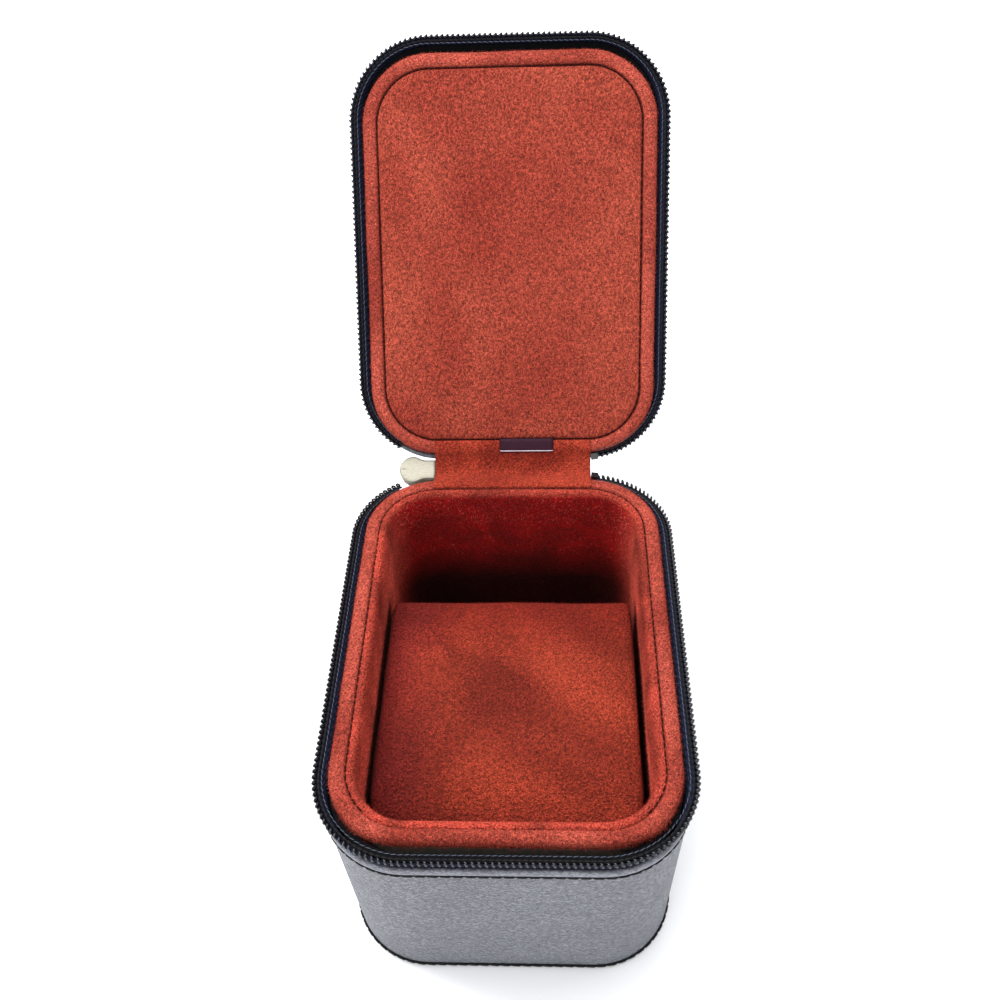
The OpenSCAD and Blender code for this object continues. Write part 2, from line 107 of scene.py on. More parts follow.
card, card_face = new_material("matte_card", "#F4F4F6")[::2]
card_face.inputs["Roughness"].default_value = 0.9
card_mesh = bpy.data.meshes.new("floor")
card_mesh.from_pydata([(-3, -3, 0), (3, -3, 0), (3, 3, 0), (-3, 3, 0)], [], [(0, 1, 2, 3)])
card_mesh.materials.append(card)
link("floor", card_mesh)

for lamp_name, place, aim, size, watts in (
    ("top_lamp", (-0.16, 0.22, 0.90), (0, 0, 0.05), 1.10, 16.0),
    ("front_lamp", (-0.10, -1.10, 0.35), (0, 0, 0.03), 1.20, 9.0),
    ("glint_lamp", (-0.45, 0.10, 0.85), (0, 0, 0.06), 0.12, 1.6),
):
    lamp = bpy.data.lights.new(lamp_name, "AREA")
    lamp.size = size
    lamp.energy = watts
    stand = bpy.data.objects.new(lamp_name, lamp)
    stand.location = place
    stand.rotation_euler = (Vector(aim) - Vector(place)).to_track_quat("-Z", "Y").to_euler()
    bpy.context.scene.collection.objects.link(stand)

room = bpy.data.worlds.new("white_room")
room.use_nodes = True
room.node_tree.nodes["Background"].inputs["Color"].default_value = linear("#FBFCFF")
room.node_tree.nodes["Background"].inputs["Strength"].default_value = 0.70
bpy.context.scene.world = room
bpy.context.scene.view_settings.view_transform = "Standard"


# ---------- Leather walls and their turned edges ----------
# Each half of the case has a wall of embossed black cow leather round a grey board. Its edge is
# turned over the board as a smooth lip, and a black seam holds the lip all round.
MM = 0.001
HALF_W, HALF_D, CORNER = 41.0, 55.0, 20.0
CASE_H, ZIP_GAP, LID_H = 64.0, 8.5, 14.0
MID_Z = CASE_H + ZIP_GAP / 2
FOLD_Y, FOLD = 54.5, math.radians(-63)
STRAP_HALF = 21.75
FRONT_LEAN, BOX_FOOT, LID_FOOT = 2.4, 1.6, CASE_H - LID_H


def fold_at(z, angle=FOLD):
    """Turn about the fold line of the hinge strap at height z."""
    pivot = Matrix.Translation((0, FOLD_Y, z))
    return pivot @ Matrix.Rotation(angle, 4, "X") @ pivot.inverted()


SHUT = Matrix.Identity(4)
STRAP_OPEN = fold_at(CASE_H)
LID_OPEN = STRAP_OPEN @ fold_at(CASE_H + ZIP_GAP)
TURNED_OVER = Matrix.Translation((0, 0, 2 * MID_Z)) @ Matrix.Diagonal((1, 1, -1, 1))
LID_MIRROR = LID_OPEN @ TURNED_OVER


def lean_at(z, foot):
    """How far the front leans out at height z, in a wall that starts at foot; none without."""
    return 0 if foot is None else FRONT_LEAN * min(1, (z - foot) / (CASE_H - foot))


def joined(arcs, along):
    """A closed line through the arcs, with even points on the straight runs between them."""
    points = []
    for arc, after in zip(arcs, arcs[1:] + arcs[:1]):
        (x0, y0), (x1, y1) = arc[-1], after[0]
        points += arc
        points += [(x0 + (x1 - x0) * k / along, y0 + (y1 - y0) * k / along)
                   for k in range(1, along)]
    return points


def outline(inset, lean=0, turn=14, along=20):
    """The case's outline moved in by inset, its front moved out by lean, as x and y
    anticlockwise from the right."""
    r = max(CORNER - inset, 0.4)
    cx, cy = HALF_W - inset - r, HALF_D - inset - r
    arcs = []
    for q, (mx, my) in enumerate(((cx, cy), (-cx, cy), (-cx, -cy - lean), (cx, -cy - lean))):
        angles = [math.radians(90 * (q + i / turn)) for i in range(turn + 1)]
        arcs.append([(mx + r * math.cos(a), my + r * math.sin(a)) for a in angles])
    return joined(arcs, along)


def ring_at(inset, z, foot=None):
    """The case's outline moved in by inset, as points at height z."""
    return [(x, y, z) for x, y in outline(inset, lean_at(z, foot))]


def shell(name, rows, material, place=SHUT, capped=False):
    """A mesh from closed rows of points in millimetres that all have the same count. The last
    row is joined to the first, or both are filled when it is capped."""
    count = len(rows[0])
    faces = []
    for j in range(len(rows) - 1 if capped else len(rows)):
        k = (j + 1) % len(rows)
        for i in range(count):
            n = (i + 1) % count
            faces.append((j * count + i, j * count + n, k * count + n, k * count + i))
    if capped:
        faces.append(tuple(range(count))[::-1])
        faces.append(tuple((len(rows) - 1) * count + i for i in range(count)))
    mesh = bpy.data.meshes.new(name)
    mesh.from_pydata([p for row in rows for p in row], [], faces)
    mesh.transform(place)
    mesh.transform(Matrix.Scale(MM, 4))
    sew = bmesh.new()
    sew.from_mesh(mesh)
    bmesh.ops.recalc_face_normals(sew, faces=sew.faces)
    sew.to_mesh(mesh)
    sew.free()
    mesh.materials.append(material)
    mesh.shade_smooth()
    return link(name, mesh)


def round_case(profile, lower=tuple, foot=None):
    """Rows for a profile of (inset, height) that runs all round the case."""
    return [[lower(p) for p in ring_at(inset, z, foot)] for inset, z in profile]


def place_piece(piece, body, *nodes, finish=None):
    """The piece moves with body and stands for the nodes."""
    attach(piece, body)
    if nodes:
        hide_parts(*nodes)
    return piece


def noise_in(tree, where, scale, detail, **more):
    return add(tree, "ShaderNodeTexNoise",
               {0: where, "Scale": scale, "Detail": detail, **more}).outputs[0]


def ranged(tree, value, start, end, low, high):
    """low where value is at start, high where it is at end, and no further."""
    return add(tree, "ShaderNodeMapRange",
               {0: value, 1: start, 2: end, 3: low, 4: high}).outputs[0]


def times(tree, one, other):
    return add(tree, "ShaderNodeMath", {0: one, 1: other}, operation="MULTIPLY").outputs[0]


def tint(tree, share, low, high):
    """low turning into high as share goes from 0 to 1. Each is an sRGB hex colour or a socket."""
    low, high = [linear(c) if isinstance(c, str) else c for c in (low, high)]
    return add(tree, "ShaderNodeMix", {0: share, 6: low, 7: high}, data_type="RGBA").outputs[2]


def finish_surface(tree, surface, colour, relief, depth, strength=1.0, **fixed):
    """Colour, bump of the relief and fixed values, whose names have _ for each space."""
    tree.links.new(colour, surface.inputs["Base Color"])
    if depth:
        bump = add(tree, "ShaderNodeBump",
                   {"Height": relief, "Distance": depth, "Strength": strength})
        tree.links.new(bump.outputs[0], surface.inputs["Normal"])
    for key, value in fixed.items():
        surface.inputs[key.replace("_", " ")].default_value = value


# Embossed cow leather: a pigment finish pressed with a fine grain that runs round the case. Its
# cells are about 1.5 mm long and 0.6 mm high, with dull creases and glossier tops. The tops' colour
# goes from black to grey: painted sheen on black leather.
def embossed_leather(name, base, painted_sheen, depth):
    material, tree, surface = new_material(name, base)
    where = add(tree, "ShaderNodeTexCoord").outputs["Object"]
    drift = add(tree, "ShaderNodeTexNoise", {0: where, "Scale": 420, "Detail": 2})
    bent = add(tree, "ShaderNodeVectorMath", {0: drift.outputs["Color"], "Scale": 0.0022},
               operation="SCALE").outputs[0]
    waved = add(tree, "ShaderNodeVectorMath", {0: where, 1: bent}).outputs[0]
    drawn = add(tree, "ShaderNodeMapping", {0: waved, "Scale": (0.6, 0.6, 1.6)}).outputs[0]
    folds = noise_in(tree, drawn, 1700, 2)
    cells = add(tree, "ShaderNodeTexVoronoi", {0: drawn, "Scale": 1100},
                feature="DISTANCE_TO_EDGE").outputs["Distance"]
    pores = noise_in(tree, where, 3200, 4)
    patch = noise_in(tree, where, 55, 3)
    hill = times(tree, ranged(tree, folds, 0.36, 0.52, 0.4, 1.0),
                 ranged(tree, cells, 0.0, 0.16, 0.3, 1.0))
    height = add(tree, "ShaderNodeMath", {0: pores, 1: 0.3, 2: hill},
                 operation="MULTIPLY_ADD").outputs[0]
    shade = times(tree, hill, ranged(tree, patch, 0.3, 0.7, 0.78, 1.0))
    rough = ranged(tree, shade, 0.0, 1.0, 0.62, 0.4)
    tree.links.new(rough, surface.inputs["Roughness"])
    finish_surface(tree, surface, tint(tree, shade, base, painted_sheen), height, depth, 0.9,
                   Sheen_Weight=0.25, Sheen_Roughness=0.5, Sheen_Tint=linear("#AEB6C4"))
    return material


# The grey given for the tops is painted sheen; the leather itself is black.
leather = embossed_leather("embossed_leather", "#0D0E11", "#797C82", depth=0.0003)
# The lip's leather is the same black leather coloured lighter grey: painted highlight along the
# lip. It is also used for the hinge strap's spine.
lip_leather = embossed_leather("turned_edge_leather", "#3A3C42", "#7C7F87", depth=0.00006)
base_leather = embossed_leather("skived_edge_leather", "#121316", "#2A2C30", depth=0.00006)

LEATHER_T, BASE_T, LIP_H = 1.0, 1.6, 2.4


def under_strap(point):
    """The lip is pared down where the hinge strap folds over it."""
    x, y, z = point
    ease = min(max((STRAP_HALF + 0.9 - abs(x)) / 0.6, 0), 1)
    low = min(z, CASE_H - 0.85)
    return (x, y, z + (low - z) * ease) if y > 40 else point


def lip_profile():
    top = CASE_H
    return [(LEATHER_T, top - LIP_H), (0.45, top - LIP_H), (0.1, top - LIP_H + 0.1),
            (-0.15, top - LIP_H + 0.35), (-0.33, top - 1.75), (-0.4, top - 1.4),
            (-0.4, top - 1.0), (-0.3, top - 0.5), (-0.1, top - 0.15), (0.2, top),
            (0.55, top - 0.05), (0.85, top - 0.25), (LEATHER_T, top - 0.6)]


def leather_wall(name, z0, z1, foot, place=SHUT):
    edge = [(0.5, 0), (0.16, 0.12), (0.03, 0.4)]
    outer = [(inset, z0 + rise) for inset, rise in edge]
    outer += [(0, z0 + 0.8 + (z1 - z0 - 1.6) * k / 9) for k in range(10)]
    outer += [(inset, z1 - rise) for inset, rise in edge[::-1]]
    outer += [(LEATHER_T, z1), (LEATHER_T, z0)]
    return shell(name, round_case(outer, foot=foot), leather, place=place)


lid_top = CASE_H + ZIP_GAP + LID_H
for prefix, node_prefix, body, z0, foot, place in (
    ("", "", "case_body", BASE_T, BOX_FOOT, SHUT),
    ("lid_", "lid_", "lid", LID_FOOT, LID_FOOT, LID_MIRROR),
):
    wall = leather_wall(prefix + "leather_wall", z0, CASE_H - LIP_H, foot, place)
    place_piece(wall, body, node_prefix + "side_leather", finish="leather_black")
    lip = shell(prefix + "turned_lip", round_case(lip_profile(), under_strap, foot),
                lip_leather, place=place)
    place_piece(lip, body, node_prefix + "edge_binding", finish="leather_black")


# ---------- Panels under the box and on the lid ----------
# Both are cut from the same leather, pasted on board, and sewn to the walls along a turned
# edge. Each is rounded at its rim and flat inside it.
def panel(name, steps, material, place=SHUT):
    """A crowned panel: steps of (inset, height) from its rim to its middle."""
    return shell(name, round_case(steps), material, place, capped=True)


base_steps = [(0.9, BASE_T), (0.15, BASE_T), (-0.15, BASE_T - 0.3), (-0.2, 0.8), (-0.1, 0.35),
              (0.3, 0.05), (0.9, 0), (4, 0), (12, 0), (24, 0), (36, 0)]
place_piece(panel("base_panel", base_steps, base_leather), "case_body", "base_cover",
            finish="leather_black")
cover_steps = [(0.9, lid_top), (0.1, lid_top), (-0.1, lid_top + 0.3), (0.0, lid_top + 0.75),
               (0.35, lid_top + 1.15), (1.0, lid_top + 1.4), (2, lid_top + 1.5),
               (8, lid_top + 1.5), (20, lid_top + 1.5), (36, lid_top + 1.5)]
place_piece(panel("lid_panel", cover_steps, leather, place=LID_OPEN), "lid", "lid_cover",
            finish="leather_black")

# ---------- Sewn seams in the leather ----------
# Waxed black polyester thread, about 3 mm to the stitch, sunk a little into the leather. Each
# stitch leans, because the needle holes are slanted.
def speckled(name, colour, low, high, scale, detail, rough, depth=0.0, stretch=None,
             kind="ShaderNodeTexNoise", **fixed):
    """A material whose colour wanders from low to high with a fine noise, which may also raise
    it by depth. rough is one roughness, or two between which it wanders as well."""
    material, tree, surface = new_material(name, colour)
    where = add(tree, "ShaderNodeTexCoord").outputs["Object"]
    if stretch:
        where = add(tree, "ShaderNodeMapping", {0: where, "Scale": stretch}).outputs[0]
    grain = add(tree, kind, {0: where, "Scale": scale, "Detail": detail}).outputs[0]
    if isinstance(rough, tuple):
        wander = ranged(tree, grain, 0.0, 1.0, *rough)
        tree.links.new(wander, surface.inputs["Roughness"])
    else:
        fixed["Roughness"] = rough
    finish_surface(tree, surface, tint(tree, grain, low, high), grain, depth, **fixed)
    return material


thread = speckled("waxed_polyester_thread", "#0E0E10", "#040405", "#141518", 4000, 2, 0.7,
                  depth=0.00005, Specular_IOR_Level=0.2)


def shape_tree(name, takes, sizes):
    """A geometry tree that takes a shape and gives a mesh. The modifier shows each named size,
    in metres or radians."""
    tree = bpy.data.node_groups.new(name, "GeometryNodeTree")
    tree.interface.new_socket(takes, in_out="INPUT", socket_type="NodeSocketGeometry")
    for size, value in sizes.items():
        socket = tree.interface.new_socket(size, in_out="INPUT", socket_type="NodeSocketFloat")
        socket.default_value = value
    tree.interface.new_socket("Mesh", in_out="OUTPUT", socket_type="NodeSocketGeometry")
    return tree, add(tree, "NodeGroupInput").outputs


def stand_on_path(tree, path, pitch, shape, size, slant, material):
    """Sets shape at every pitch of the path, with its X along the path and Z up."""
    curve = add(tree, "GeometryNodeMeshToCurve", {0: path}).outputs[0]
    evenly = add(tree, "GeometryNodeResampleCurve", {0: curve, "Length": pitch}, mode="LENGTH")
    heading = add(tree, "GeometryNodeInputTangent").outputs[0]
    forward = add(tree, "FunctionNodeAlignRotationToVector", {"Vector": heading}, axis="X")
    upright = add(tree, "FunctionNodeAlignRotationToVector",
                  {"Rotation": forward.outputs[0], "Vector": (0, 0, 1)}, axis="Z",
                  pivot_axis="X")
    lean = add(tree, "ShaderNodeCombineXYZ", slant).outputs[0]
    turned = add(tree, "FunctionNodeRotateRotation",
                 {"Rotation": upright.outputs[0], 1: lean}, rotation_space="LOCAL").outputs[0]
    spread = add(tree, "GeometryNodeInstanceOnPoints",
                 {0: evenly.outputs[0], "Instance": shape, "Rotation": turned, "Scale": size})
    solid = add(tree, "GeometryNodeRealizeInstances", {0: spread.outputs[0]}).outputs[0]
    smooth = add(tree, "GeometryNodeSetShadeSmooth", {0: solid}).outputs[0]
    dressed = add(tree, "GeometryNodeSetMaterial", {0: smooth, "Material": material}).outputs[0]
    add(tree, "NodeGroupOutput", {0: dressed})


def applied(piece):
    """The piece's mesh with its modifiers applied. They are taken off the piece."""
    bpy.context.view_layer.update()
    graph = bpy.context.evaluated_depsgraph_get()
    mesh = bpy.data.meshes.new_from_object(piece.evaluated_get(graph))
    piece.modifiers.clear()
    return mesh


def grown(holder, tree, sizes):
    """The mesh that the tree makes with these sizes from the holder, which is then removed."""
    modifier = holder.modifiers.new("nodes", "NODES")
    modifier.node_group = tree
    sockets = {s.name: s.identifier for s in tree.interface.items_tree if s.in_out == "INPUT"}
    for key, value in sizes.items():
        modifier[sockets[key]] = float(value)
    mesh = applied(holder)
    bpy.data.objects.remove(holder)
    return mesh


def run_on_path(name, tree, points, loop, sizes, place=SHUT):
    """The tree's mesh along points in millimetres, swung to its place, as a plain object."""
    edges = [(i, i + 1) for i in range(len(points) - 1)]
    if loop:
        edges.append((len(points) - 1, 0))
    line = bpy.data.meshes.new(name + "_path")
    line.from_pydata([tuple(c * MM for c in p) for p in points], edges, [])
    mesh = grown(link(name + "_path", line), tree, sizes)
    mesh.name = name
    small = Matrix.Scale(MM, 4)
    mesh.transform(small @ place @ small.inverted())
    if place.determinant() < 0:
        mesh.flip_normals()
    return link(name, mesh)


def stitch_tree(name, sizes, slant_axis, material):
    """A tree that sews stitches of the given sizes along a path."""
    tree, given = shape_tree(name, "Path", sizes)
    ball = add(tree, "GeometryNodeMeshUVSphere",
               {"Segments": 6, "Rings": 5, "Radius": 1.0}).outputs[0]
    radius = given["Thread Radius"]
    size = add(tree, "ShaderNodeCombineXYZ",
               {0: times(tree, given["Stitch Length"], 0.5), 1: radius, 2: radius}).outputs[0]
    stand_on_path(tree, given["Path"], given["Stitch Pitch"], ball, size,
                  {slant_axis: given["Slant"]}, material)
    return tree


def stitches(pitch, length, radius, slant):
    """Sizes for a stitch tree, in metres and radians."""
    return {"Stitch Pitch": pitch, "Stitch Length": length, "Thread Radius": radius,
            "Slant": slant}


ALONG_Y, ALONG_Z = 1, 2
seam_tree = stitch_tree("sewn_seam", stitches(0.003, 0.0026, 0.0002, 0.1), ALONG_Y, thread)
LIP_SLANT, PANEL_SLANT = 0.07, 0.14
for seam_name, inset, z, foot, slant, place, body in (
    ("lip_seam", -0.15, CASE_H - LIP_H - 0.08, BOX_FOOT, LIP_SLANT, SHUT, "case_body"),
    ("lid_lip_seam", -0.15, CASE_H - LIP_H - 0.08, LID_FOOT, LIP_SLANT, LID_MIRROR, "lid"),
    ("base_seam", -0.2, BASE_T + 0.1, None, PANEL_SLANT, SHUT, "case_body"),
    ("lid_panel_seam", 0.0, lid_top - 0.05, None, PANEL_SLANT, LID_OPEN, "lid"),
):
    sewn = run_on_path(seam_name, seam_tree, ring_at(inset, z, foot), True,
                       stitches(0.0027, 0.0034, 0.00045, slant), place)
    place_piece(sewn, body, finish="leather_black")

# ---------- Zip tapes ----------
# Woven polyester tape, 0.5 mm thick. Its foot is pasted between leather and board, and it
# flares over the lip so that its corded edge carries the coil round three sides.
CROWN_HW, CROWN_FRONT, CROWN_REAR, CROWN_R = 43.0, -58.0, 55.2, 22.0
COIL_W, COIL_H, COIL_TOP, TAPE_T = 1.7, 1.6, 67.85, 0.5
COIL_START = math.degrees(math.asin((32.45 - (CROWN_HW - CROWN_R)) / CROWN_R))
COIL_END = math.degrees(math.asin((24.15 - (CROWN_HW - CROWN_R)) / CROWN_R))


def crown_path(inset, step):
    """Points of the coil's path, from the hinge's left round the front to its right."""
    r, cx = CROWN_R - inset, CROWN_HW - CROWN_R
    yr, yf = CROWN_REAR - CROWN_R, CROWN_FRONT + CROWN_R
    points = []
    for ax, ay, a0, a1 in ((-cx, yr, COIL_START, 90), (-cx, yf, 90, 180), (cx, yf, 180, 270),
                           (cx, yr, 270, 360 - COIL_END)):
        steps = max(4, round(math.radians(a1 - a0) * CROWN_R / step))
        angles = [math.radians(a0 + (a1 - a0) * i / steps) for i in range(steps + 1)]
        arc = [(ax - r * math.sin(a), ay + r * math.cos(a)) for a in angles]
        if points:
            (x0, y0), (x1, y1) = points[-1], arc[0]
            runs = round(math.hypot(x1 - x0, y1 - y0) / (2 * step))
            points += [(x0 + (x1 - x0) * (k / runs), y0 + (y1 - y0) * (k / runs))
                       for k in range(1, runs)]
        points += arc
    return points


woven, woven_tree, woven_face = new_material("woven_polyester_tape", "#15171F")
across = add(woven_tree, "ShaderNodeTexCoord").outputs["Object"]
ribs = []
for turn_by in (0.6, -0.6):
    lay = add(woven_tree, "ShaderNodeMapping", {0: across, "Rotation": (turn_by, turn_by, 0.8)})
    ribs.append(add(woven_tree, "ShaderNodeTexWave",
                    {0: lay.outputs[0], "Scale": 420, "Distortion": 0.6, "Detail": 1}).outputs[1])
cloth = times(woven_tree, *ribs)
finish_surface(woven_tree, woven_face, tint(woven_tree, cloth, "#0A0F20", "#222B48"), cloth,
               0.0001, Roughness=0.8, Specular_IOR_Level=0.2)


def tape_rows(foot):
    """Cross-sections of the tape along its path: held behind the lip, then a soft flare."""
    rows = []
    for x, y in crown_path(0, 1.4):
        outer, inner = [], []
        for t, z in ((0, 58.0), (0, 60.5), (0, 62.9), (0.04, 63.9), (0.2, 64.8), (0.5, 65.6),
                     (0.8, 66.05), (1.0, COIL_TOP - COIL_H)):
            front = CORNER - HALF_D - lean_at(z, foot)
            core = Vector((max(CORNER - HALF_W, min(HALF_W - CORNER, x)),
                           max(front, min(HALF_D - CORNER, y))))
            way = (Vector((x, y)) - core).normalized()
            held = core + way * (CORNER - LEATHER_T - 0.1)
            edge = Vector((x, y)) - way * (COIL_W * 0.28)
            p = held.lerp(edge, t)
            q = p - way * TAPE_T * 0.8
            outer.append((p.x, p.y, z))
            inner.append((q.x, q.y, z + TAPE_T * 0.5 * t))
        rows.append(outer + inner[::-1])
    return rows


for tape_name, place, body, node, foot in (
    ("zip_tape_box", SHUT, "case_body", "zip_tape_lower", BOX_FOOT),
    ("zip_tape_lid", LID_MIRROR, "lid", "zip_tape_upper", LID_FOOT),
):
    tape = shell(tape_name, tape_rows(foot), woven, place, capped=True)
    place_piece(tape, body, node, finish="zip_tape")

# ---------- Zip coils ----------
# Black nylon wire wound into flat loops at 1.4 mm to the turn and sewn on the tape's edge.
# The loops are glossy, so that each one shows a bright curl at its head.
nylon = speckled("extruded_nylon", "#0D0F15", "#050608", "#101218", 900, 2, (0.12, 0.24))

COIL_PITCH = 0.0014
COIL_SIZES = {"Coil Pitch": COIL_PITCH, "Wire Radius": 0.00029, "Loop Half Height": 0.00048,
              "Loop Half Depth": 0.00048, "Slant": 0.75}
coil_tree, coil = shape_tree("nylon_coil", "Path", COIL_SIZES)
turn_circle = add(coil_tree, "GeometryNodeCurvePrimitiveCircle",
                  {"Resolution": 10, "Radius": 1.0}).outputs[0]
loop_size = add(coil_tree, "ShaderNodeCombineXYZ",
                {0: coil["Loop Half Height"], 1: coil["Loop Half Depth"], 2: 1.0}).outputs[0]
flat_loop = add(coil_tree, "GeometryNodeTransform",
                {0: turn_circle, "Scale": loop_size}).outputs[0]
on_edge = add(coil_tree, "GeometryNodeTransform",
              {0: flat_loop, "Rotation": (0, math.pi / 2, 0)}).outputs[0]
wire = add(coil_tree, "GeometryNodeCurvePrimitiveCircle", {"Resolution": 6}).outputs[0]
wire_size = add(coil_tree, "ShaderNodeCombineXYZ",
                {0: coil["Wire Radius"], 1: coil["Wire Radius"], 2: 1.0}).outputs[0]
wire_round = add(coil_tree, "GeometryNodeTransform", {0: wire, "Scale": wire_size}).outputs[0]
loop_mesh = add(coil_tree, "GeometryNodeCurveToMesh", {0: on_edge, 1: wire_round}).outputs[0]
stand_on_path(coil_tree, coil["Path"], coil["Coil Pitch"], loop_mesh, (1, 1, 1),
              {ALONG_Z: coil["Slant"]}, nylon)

pale_thread = speckled("pale_sewing_thread", "#3A4050", "#1A1E2A", "#4E5566", 3000, 1, 0.6)
EDGE_STITCHES = stitches(COIL_PITCH, 0.0016, 0.0001, 0.15)
CORD_TURNS = stitches(COIL_PITCH, 0.0018, 0.00032, 0.0)
edge_tree = stitch_tree("edge_stitches", EDGE_STITCHES, ALONG_Z, pale_thread)

COIL_AXIS_IN, CORD_Z, EDGE_STITCH_IN, EDGE_STITCH_Z = 0.78, 66.85, 0.8, 67.35
for half_name, place, body, node in (
    ("box", SHUT, "case_body", "zip_coil_lower"), ("lid", LID_MIRROR, "lid", "zip_coil_upper"),
):
    for run_name, inset, z, tree, sizes, nodes, finish in (
        ("zip_coil_", COIL_AXIS_IN, COIL_TOP - COIL_H / 2, coil_tree, COIL_SIZES, (node,),
         "zip_nylon"),
        ("coil_cord_", COIL_W, CORD_Z, seam_tree, CORD_TURNS, (), "zip_tape"),
        ("coil_stitches_", COIL_W + EDGE_STITCH_IN, EDGE_STITCH_Z, edge_tree, EDGE_STITCHES, (),
         "zip_tape"),
    ):
        line = [(x, y, z) for x, y in crown_path(inset, 0.8)]
        run = run_on_path(run_name + half_name, tree, line, False, sizes, place)
        place_piece(run, body, *nodes, finish=finish)

# ---------- Zip stops ----------
# A small clamp of black nylon is moulded over each coil's right-hand end, so that the slider
# can't run off it. It keeps its CAD shape.
def dress(node_name, material):
    """A CAD node that is kept as it is, in a new material."""
    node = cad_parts[node_name]
    node.data.materials.clear()
    node.data.materials.append(material)


dress("zip_stop_lower", nylon)
dress("zip_stop_upper", nylon)

# ---------- Boards and foam inside ----------
# Grey book board stiffens the walls, floor and lid; the outer walls' board is coloured near black
# as painted shade, for its edge shows in the shaded gap beside the zip. Polyurethane foam fills the
# cushion and the lid.
board = speckled("grey_book_board", "#9C958A", "#7D766C", "#B3ACA0", 700, 5, 0.9)
shade_black_board = speckled("painted_shade_board", "#0C0C0E", "#050506", "#141417", 900, 3, 0.95,
                 Specular_IOR_Level=0.1)
foam = speckled("polyurethane_foam", "#EFE6CC", "#F4EDD8", "#CDBF98", 1800, 0, 0.95,
                kind="ShaderNodeTexVoronoi")
for stuff, node_names in (
    (board, ("base_board", "well_board", "well_floor_board", "lid_board", "lid_pad_board")),
    (shade_black_board, ("side_board", "lid_side_board")),
    (foam, ("lid_foam", "cushion_core")),
):
    for node_name in node_names:
        dress(node_name, stuff)


# ---------- Suede rims ----------
# A strip of brick-red suede is wrapped over a soft rope of foam round each half. A dark sewn
# crease runs 4 mm in from its outer edge, where the rim meets the lining.
def brushed_suede(name, deep, light, nap=30.0, lay=(1.0, 1.0, 1.0), turn=0.0, painted_shading=(),
                  sheen=0.3, cloud=0.1):
    """Split suede: a short nap that lies in patches, with single fibres made brighter, a painted
    glint. lay draws the tufts out, after turning about X. Each entry of the shading list (axis,
    from, to, colour) takes over along one axis, and a second axis, from and to may bound it: it is
    painted light and shade, lighter where light falls, darker where shade falls and near black
    where shadow falls. cloud is how much lighter and darker the patches are."""
    material, tree, surface = new_material(name, light)
    where = add(tree, "ShaderNodeTexCoord").outputs["Object"]
    patch = noise_in(tree, where, nap, 2.5, Distortion=0.8)
    turned = add(tree, "ShaderNodeMapping",
                 {0: where, "Rotation": (turn, 0, 0), "Scale": lay}).outputs[0]
    tuft = noise_in(tree, turned, 1500, 2)
    fibre = noise_in(tree, turned, 3400, 1.5)
    # Painted glint: random single fibres are made brighter in colour.
    glint = noise_in(tree, where, 5200, 0)
    lie = ranged(tree, patch, 0.34, 0.62, 0.0, 1.0)
    brushed = tint(tree, lie, deep, light)
    apart = add(tree, "ShaderNodeSeparateXYZ", {0: where}).outputs
    for axis, start, end, colour, *bound in painted_shading:
        share = ranged(tree, apart[axis], start, end, 0.0, 1.0)
        if bound:
            share = times(tree, share, ranged(tree, apart[bound[0]], *bound[1:], 0.0, 1.0))
        brushed = tint(tree, share, brushed, colour)
    both = times(tree, ranged(tree, tuft, 0.34, 0.66, 0.62, 1.38),
                 ranged(tree, fibre, 0.34, 0.68, 0.5, 1.6))
    bright = ranged(tree, glint, 0.6, 0.78, 0.0, 1.4)
    flecked = add(tree, "ShaderNodeMath", {0: both, 1: bright}).outputs[0]
    lit = times(tree, flecked, ranged(tree, lie, 0.0, 1.0, 1.0 - cloud, 1.0 + cloud))
    colour = add(tree, "ShaderNodeVectorMath", {0: brushed, "Scale": lit},
                 operation="SCALE").outputs[0]
    fluff = add(tree, "ShaderNodeMath", {0: fibre, 1: 0.5, 2: tuft},
                operation="MULTIPLY_ADD").outputs[0]
    finish_surface(tree, surface, colour, fluff, 0.0009, Roughness=0.95, Sheen_Weight=sheen,
                   Sheen_Roughness=0.45, Sheen_Tint=linear("#C8543F"), Specular_IOR_Level=0.15)
    return material


rim_suede = brushed_suede("brushed_suede_rim", "#843126", "#974134")
flap_suede = brushed_suede("brushed_suede_flap", "#782417", "#8C3120", nap=45.0)
# Painted light and shade in the lining's suede: lighter down the side walls, darker crimson on the
# back wall, lit red again on the lip at the top, and near-black painted shadow beside the cushion
# and at the foot of the back wall.
well_suede = brushed_suede(
    "brushed_suede_lining", "#7C271D", "#953629", nap=60.0, sheen=0.2, cloud=0.35,
    painted_shading=((2, 0.066, 0.056, "#B2483A"), (2, 0.0545, 0.052, "#140405", 1, 0.024, 0.020),
            (1, 0.034, 0.0445, "#7A0509"), (2, 0.046, 0.031, "#1A0203", 1, 0.034, 0.0445),
            (2, 0.0655, 0.0668, "#8C3226")))
# Raised fibres are coloured a lighter red than the lining they stand on: painted highlight against
# the shaded back wall.
fibre_suede = brushed_suede("raised_suede_fibre", "#7A2320", "#B04A40", nap=60.0)
RIM_OUT, RIM_IN = 1.8, 5.6


def soft(rows, swell, scale=0.06, seed=0.0):
    """Rows with the slight unevenness of a padded strip."""
    uneven = []
    for row in rows:
        uneven.append([tuple(Vector(p) + swell * noise.noise_vector(
            Vector(p) * scale + Vector((seed, seed, 0)))) for p in row])
    return uneven


